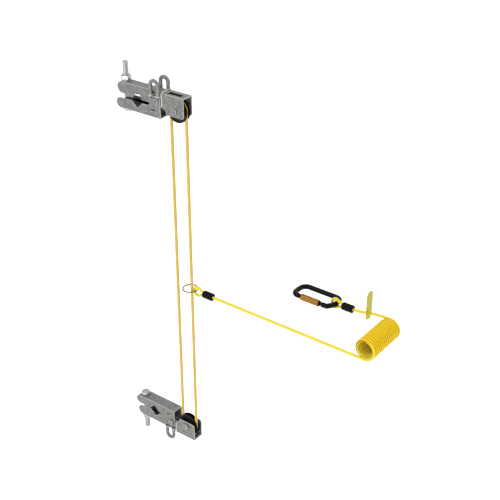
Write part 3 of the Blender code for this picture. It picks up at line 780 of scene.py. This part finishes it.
@dataclass
class Lanyard:
    """Ring, coiled cord, ferrules, tag and carabiner, which travel together."""

    cord_radius: float = 3.2 * MM
    coil_radius: float = 20.3 * MM
    turns: float = 14.5
    points_per_turn: int = 32
    long_run_points: int = 40
    short_run_points: int = 20
    eye_leg: float = 3.7 * MM
    eye_half: float = 10 * MM

    def build(self) -> None:
        self.ring()
        pieces = [self.ferrule("ring_ferrule"), self.ferrule("carabiner_ferrule")]
        pieces.append(self.eye("ring_eye_loop", "ring_ferrule"))
        pieces.append(self.eye("carabiner_eye_loop", "carabiner_ferrule"))
        pieces += [self.tag(), *Carabiner().build()]
        self.cord()

    def ring(self) -> None:
        """Chromed ring: a circle of round wire."""
        low, high = (np.array(v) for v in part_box("shuttle_ring"))
        centre = (low + high) / 2
        wire = (high[2] - low[2]) / 2
        radius = (high[0] - low[0]) / 2 - wire
        angle = np.linspace(0, TAU, 96, endpoint=False)
        path = centre + np.stack([radius * np.cos(angle), radius * np.sin(angle), np.zeros(96)], 1)
        fit(sweep("shuttle_ring_wire", path, wire, (0, 0, 1), 16, True), "shuttle_ring")

    def cord(self) -> None:
        """One length of cord: straight run, coil and straight run.

        The coil is a helix about Y. Its angle runs from straight down through all its turns, and
        its depth grows in step with the angle.
        """
        first_low, first_high = (np.array(v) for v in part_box("ring_ferrule"))
        last_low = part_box("carabiner_ferrule")[0]
        coil_low, coil_high = (np.array(v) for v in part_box("lanyard_coil"))
        centre = (coil_low + coil_high) / 2
        near, far = coil_low[1] + self.cord_radius, coil_high[1] - self.cord_radius
        share = np.linspace(0, 1, round(self.turns * self.points_per_turn))
        angle = -pi / 2 + TAU * self.turns * share
        depth = near + (far - near) * share
        round_x, round_z = self.coil_radius * np.cos(angle), self.coil_radius * np.sin(angle)
        coil = np.stack([centre[0] + round_x, depth, centre[2] + round_z], 1)
        lead = (first_high - first_low)[0]
        start, end = first_high[0] - lead / 2, last_low[0] + lead / 2
        ahead = np.linspace(start, centre[0], self.long_run_points)[:-1]
        run_in = np.stack([ahead, np.full_like(ahead, near), np.full_like(ahead, coil[0, 2])], 1)
        back = np.linspace(centre[0], end, self.short_run_points)[1:]
        run_out = np.stack([back, np.full_like(back, far), self.run_height(back)], 1)
        path = np.vstack([run_in, coil, run_out])
        piece = sweep("lanyard_cord", path, self.cord_radius, (0, 1, 0), 14)
        fit(piece, "lanyard_run_long", "lanyard_coil", "lanyard_run_short")
        self.shade_grooves(piece, centre, near)

    def shade_grooves(self, piece: bpy.types.Object, centre: np.ndarray, near: float) -> None:
        """Give the outer side of the wound turns the finish with painted shade in the grooves.

        Args:
            piece: the cord.
            centre: the coil's middle.
            near: the first turn's Y, past which the cord is wound.
        """
        # The second material paints shade into the grooves between the wound turns.
        piece.data.materials.append(MATERIALS["yellow_cord_groove_shade"])
        middles = np.empty(3 * len(piece.data.polygons))
        piece.data.polygons.foreach_get("center", middles)
        middles = middles.reshape(-1, 3)
        off_axis = np.linalg.norm(middles[:, ::2] - centre[::2], axis=1)
        outside = (off_axis > self.coil_radius - 1 * MM) & (off_axis < self.coil_radius + self.cord_radius)
        # Faces on the outside of the wound turns, which get the painted groove shade.
        wound = outside & (middles[:, 1] > near)
        piece.data.polygons.foreach_set("material_index", wound.astype(int))

    def run_height(self, x: np.ndarray) -> np.ndarray:
        """Work out the short run's height: level at both ends, with an eased fall between.

        The fall's share is 3 s squared less 2 s cubed, where s is the share of the way back.

        Args:
            x: places along the run.

        Returns:
            The height at each place.
        """
        run_low, run_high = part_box("lanyard_run_short")
        top, foot = run_high[2] - self.cord_radius, run_low[2] + self.cord_radius
        share = np.clip((run_high[0] - x) / (run_high[0] - run_low[0]), 0, 1)
        return top - (top - foot) * share**2 * (3 - 2 * share)

    def ferrule(self, node: str) -> bpy.types.Object:
        """Heat-shrunk sleeve: shallow swells over the crimps and a rolled lip at each end.

        The radius swells with the square of the cosine of the place along it.

        Args:
            node: the CAD node that it replaces.

        Returns:
            The sleeve.
        """
        low, high = (np.array(v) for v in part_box(node))
        half, radius = (high[0] - low[0]) / 2, (high[2] - low[2]) / 2
        share = np.linspace(-1, 1, 41)
        waist, swell, crimps = 0.93, 0.05, 1.5
        body = radius * (waist + swell * np.abs(np.cos(share * pi * crimps)) ** 2)
        body = np.where(np.abs(share) > 0.93, body * 0.97, body)
        end = radius * 0.78
        profile = [(0.0, -half), (end, -half)]
        profile += [(float(r), float(s * (half - 0.4 * MM))) for r, s in zip(body, share)]
        profile += [(end, half), (0.0, half)]
        middle = Vector((low + high) / 2)
        return fit(turned(f"{node}_sleeve", profile, middle, "X", sides=40), node)

    def eye(self, node: str, ferrule: str) -> bpy.types.Object:
        """Cord eye: two legs from the ferrule that open into a round loop.

        Args:
            node: the CAD node that it replaces.
            ferrule: the CAD node that holds its legs.

        Returns:
            The eye.
        """
        low, high = (np.array(v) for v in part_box(node))
        middle = (low + high) / 2
        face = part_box(ferrule)[0][0]
        far = low[0] + self.cord_radius
        turn = far + self.eye_half
        angle = np.linspace(pi / 2, 3 * pi / 2, 15)
        arch = np.stack([turn + self.eye_half * np.cos(angle), self.eye_half * np.sin(angle)], 1)
        held, free = [face + 3 * MM, self.eye_leg], [face - 3.3 * MM, self.eye_leg + 0.2 * MM]
        legs = np.array([held, free])
        flat = np.vstack([legs, arch, legs[::-1] * (1, -1)])
        route = np.stack([flat[:, 0], np.full(len(flat), middle[1]), middle[2] + flat[:, 1]], 1)
        loop = sweep(f"{node}_cord", smooth_path(route, 1.2 * MM), self.cord_radius, (0, 1, 0), 16)
        return fit(loop, node)

    def tag(self) -> bpy.types.Object:
        """Flat label with round ends, which the cord passes through.

        Its outline is a stadium: a half circle at each end, half the width in radius. The
        section shrinks by a quarter circle towards both faces, so that its edge is round.

        Returns:
            The tag.
        """
        low, high = (np.array(v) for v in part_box("inspection_tag"))
        middle = (low + high) / 2
        radius = (high[1] - low[1]) / 2
        straight = (high[2] - low[2]) / 2 - radius
        thick = 0.9 * MM
        top, foot = np.linspace(0, pi, 25), np.linspace(pi, TAU, 25)
        angle = np.concatenate([top, foot])
        shift = np.concatenate([np.full(25, straight), np.full(25, -straight)])
        roll = np.linspace(-pi / 2, pi / 2, 9)
        reach = (radius - thick + thick * np.cos(roll))[:, None]
        grid = np.stack(
            [
                np.broadcast_to(middle[0] + thick * np.sin(roll)[:, None], (9, 50)),
                middle[1] + reach * np.cos(angle),
                middle[2] + reach * np.sin(angle) + shift,
            ],
            -1,
        )
        return fit(skin("inspection_tag_blade", grid), "inspection_tag")


@dataclass
class Carabiner:
    """Offset D snap link with a sprung gate under a twisting sleeve."""

    rod: float = 5.5 * MM
    fork_half: float = 2.3 * MM
    flutes: int = 24
    flute_depth: float = 0.35 * MM
    sleeve_bore: float = 4.8 * MM
    collar: float = 1.8 * MM

    def build(self) -> list[bpy.types.Object]:
        """Make the frame, gate, pin and sleeve.

        Returns:
            All the pieces.
        """
        pieces = [self.frame_bar()]
        pieces.append(fit(bevelled_copy("carabiner_gate", 0.6 * MM, 3), "carabiner_gate"))
        pieces.append(fit(bevelled_copy("gate_pin", 0.2 * MM), "gate_pin"))
        pieces += self.sleeve()
        return pieces

    def frame_bar(self) -> bpy.types.Object:
        """Round bar bent to an open D, slightly fuller at its wide end, and slotted at its hinge.

        Its four corners are arcs, and a smooth curve runs through them and the straight ends.

        Returns:
            The bar.
        """
        low, high = (np.array(v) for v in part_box("carabiner_frame"))
        gate_low, gate_high = (np.array(v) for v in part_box("carabiner_gate"))
        pin_low, pin_high = (np.array(v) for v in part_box("gate_pin"))
        rod = self.rod
        z = (low[2] + high[2]) / 2
        gate_y = (gate_low[1] + gate_high[1]) / 2
        hinge = (pin_low[0] + pin_high[0]) / 2
        left, right = low[0] + rod, high[0] - rod
        spine = high[1] - rod
        narrow, wide, nose = 12 * MM, 15.5 * MM, 12 * MM
        fork = [[hinge - 3.6 * MM, gate_y], [hinge + 4 * MM, gate_y], [hinge + 9 * MM, gate_y + 1 * MM]]
        stretches = [np.array(fork)]
        for cx, cy, radius, start, end, count in (
            (right - narrow, gate_y + 6 * MM + narrow, narrow, -50, 0, 5),
            (right - narrow, spine - narrow, narrow, 0, 90, 7),
            (left + wide, spine - wide, wide, 90, 180, 7),
            (left + nose, gate_y + nose, nose, 180, 270, 7),
        ):
            angle = np.radians(np.linspace(start, end, count))
            stretches.append(np.stack([cx + radius * np.cos(angle), cy + radius * np.sin(angle)], 1))
        stretches.append(np.array([[gate_low[0] - 0.6 * MM, gate_y]]))
        flat = np.vstack(stretches)
        path = smooth_path(np.column_stack([flat, np.full(len(flat), z)]), 1.5 * MM)
        bar = sweep("carabiner_frame_bar", path, rod, (0, 0, 1), 24)
        bpy.ops.mesh.primitive_cube_add(size=1, location=(hinge - 2 * MM, gate_y, z))
        cutter = bpy.context.object
        cutter.scale = (14 * MM, 20 * MM, 2 * self.fork_half)
        cut = bar.modifiers.new("fork", "BOOLEAN")
        cut.object = cutter
        cut.operation = "DIFFERENCE"
        graph = bpy.context.evaluated_depsgraph_get()
        bar.data = bpy.data.meshes.new_from_object(bar.evaluated_get(graph))  # the cut is applied
        bar.modifiers.clear()
        bpy.data.objects.remove(cutter)
        return fit(bar, "carabiner_frame")

    def sleeve(self) -> list[bpy.types.Object]:
        """Fluted sleeve with a dark collar at each end.

        In its middle the radius dips at each of the flutes, as a raised cosine.

        Returns:
            The grip and both collars.
        """
        low, high = (np.array(v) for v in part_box("gate_sleeve"))
        half, radius = (high[0] - low[0]) / 2, (high[2] - low[2]) / 2
        middle = Vector((low + high) / 2)
        inner = self.sleeve_bore
        body = half - self.collar
        share = np.linspace(-1, 1, 25)
        profile = [(inner, -body), (radius * 0.93, -body)]
        profile += [(radius, float(s * (body - 0.8 * MM))) for s in share]
        profile += [(radius * 0.93, body), (inner, body)]

        def fluted(rows: np.ndarray, angle: np.ndarray) -> np.ndarray:
            """Cut the flutes: the radii, less the dip on the rows away from both ends.

            Args:
                rows: the radii, shaped rows by sides.
                angle: the angle of each point.

            Returns:
                The fluted radii.
            """
            dip = self.flute_depth * (0.5 - 0.5 * np.cos(angle * self.flutes))
            inside = np.zeros(len(rows))
            inside[5:-5] = 1
            return rows - dip * inside[:, None]

        grip = turned("gate_sleeve_grip", profile, middle, "X", True, 144, fluted)
        made = [fit(grip, "gate_sleeve")]
        band = rounded(inner, radius * 0.9, self.collar / 2 - 0.15 * MM, 0.6 * MM)
        for name, side in (("nose", -1), ("hinge", 1)):
            place = middle + Vector((side * (half - self.collar / 2 + 0.1 * MM), 0, 0))
            ring = turned(f"gate_sleeve_{name}_collar", band, place, "X", True)
            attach(ring, BODY_OF["gate_sleeve"])
            made.append(dress(ring, "black_anodised"))
        return made


# ---------------------------------------------------------------- stage


@dataclass
class Studio:
    """Camera, pale floor and soft light."""

    camera_place: tuple[float, float, float] = (1.3351, -1.4164, 0.7419)
    pitch: float = 29.462
    azimuth: float = 36.868
    lens: float = 73.5
    floor_z: float = -1.0
    sky_light: float = 0.55
    paper_tone: float = 0.85
    paper_glow: float = 0.75

    def build(self) -> None:
        """Set up the camera, the floor, the lamps and the world."""
        data = bpy.data.cameras.new("view")
        data.lens = self.lens
        data.clip_end = 50
        camera = bpy.data.objects.new("view", data)
        camera.location = self.camera_place
        camera.rotation_euler = (radians(90 - self.pitch), 0, radians(self.azimuth))
        bpy.context.scene.collection.objects.link(camera)
        bpy.context.scene.camera = camera
        bpy.context.scene.view_settings.view_transform = "Standard"
        self.floor()
        self.lamp("key", (-1.4, -2.2, 2.2), 34, 1.6)
        self.lamp("fill", (2.6, -0.9, 1.0), 16, 2.0)
        self.lamp("rim", (0.5, 2.4, 1.6), 18, 1.6)
        self.lamp("front", (0.75, -2.6, -0.3), 16, 0.8)
        self.world()

    def floor(self) -> None:
        """Wide pale floor that shows white where it is lit and keeps a soft shadow."""
        bpy.ops.mesh.primitive_plane_add(size=30, location=(0, 0, self.floor_z))
        ground = bpy.context.object
        ground.name = "floor"
        made = bpy.data.materials.new("white_paper")
        made.use_nodes = True
        tree = made.node_tree
        tree.nodes.clear()
        paper = add_node(tree, "ShaderNodeBsdfDiffuse", {"Color": (*[self.paper_tone] * 3, 1)})
        glow = add_node(tree, "ShaderNodeEmission", {"Strength": self.seen(tree, self.paper_glow)})
        both = add_node(tree, "ShaderNodeAddShader", {0: paper.outputs[0], 1: glow.outputs[0]})
        add_node(tree, "ShaderNodeOutputMaterial", {0: both.outputs[0]})
        ground.data.materials.append(made)

    def seen(self, tree: bpy.types.NodeTree, strength: float) -> bpy.types.NodeSocket:
        """Make a strength that only camera, mirror and glass rays see.

        Args:
            tree: the node tree that needs it.
            strength: the strength for those rays.

        Returns:
            The strength's socket.
        """
        rays = add_node(tree, "ShaderNodeLightPath").outputs
        seen = rays["Is Camera Ray"]
        for ray in ("Is Glossy Ray", "Is Transmission Ray"):
            seen = add_node(tree, "ShaderNodeMath", {0: seen, 1: rays[ray]}, operation="MAXIMUM").outputs[0]
        return add_node(tree, "ShaderNodeMath", {0: seen, 1: strength}, operation="MULTIPLY").outputs[0]

    def lamp(self, name: str, place: tuple[float, float, float], power: float, size: float) -> None:
        """Soft square lamp that faces the middle of the object.

        Args:
            name: the lamp's name.
            place: where it stands.
            power: its power in watts.
            size: the side of its square.
        """
        data = bpy.data.lights.new(name, "AREA")
        data.energy = power
        data.size = size
        lamp = bpy.data.objects.new(name, data)
        lamp.location = place
        aim = Vector((0.2, 0, -0.4)) - Vector(place)
        lamp.rotation_euler = aim.to_track_quat("-Z", "Y").to_euler()
        bpy.context.scene.collection.objects.link(lamp)

    def world(self) -> None:
        """Even sky that lights the object softly and shows as white."""
        sky = bpy.data.worlds.new("studio")
        bpy.context.scene.world = sky
        sky.use_nodes = True
        tree = sky.node_tree
        back = tree.nodes["Background"]
        back.inputs["Color"].default_value = (1, 1, 1, 1)
        extra = self.seen(tree, 1 - self.sky_light)
        total = add_node(tree, "ShaderNodeMath", {0: extra, 1: self.sky_light}, operation="ADD")
        tree.links.new(total.outputs[0], back.inputs["Strength"])


def main() -> None:
    """Build the camera first, then the cord and the rest."""
    logging.basicConfig(level=logging.INFO)
    Studio().build()
    Lanyard().build()
    LoopRope().build()
    for prefix, over in (("upper", False), ("lower", True)):
        Bracket(prefix, over).build()


if __name__ == "__main__":
    main()
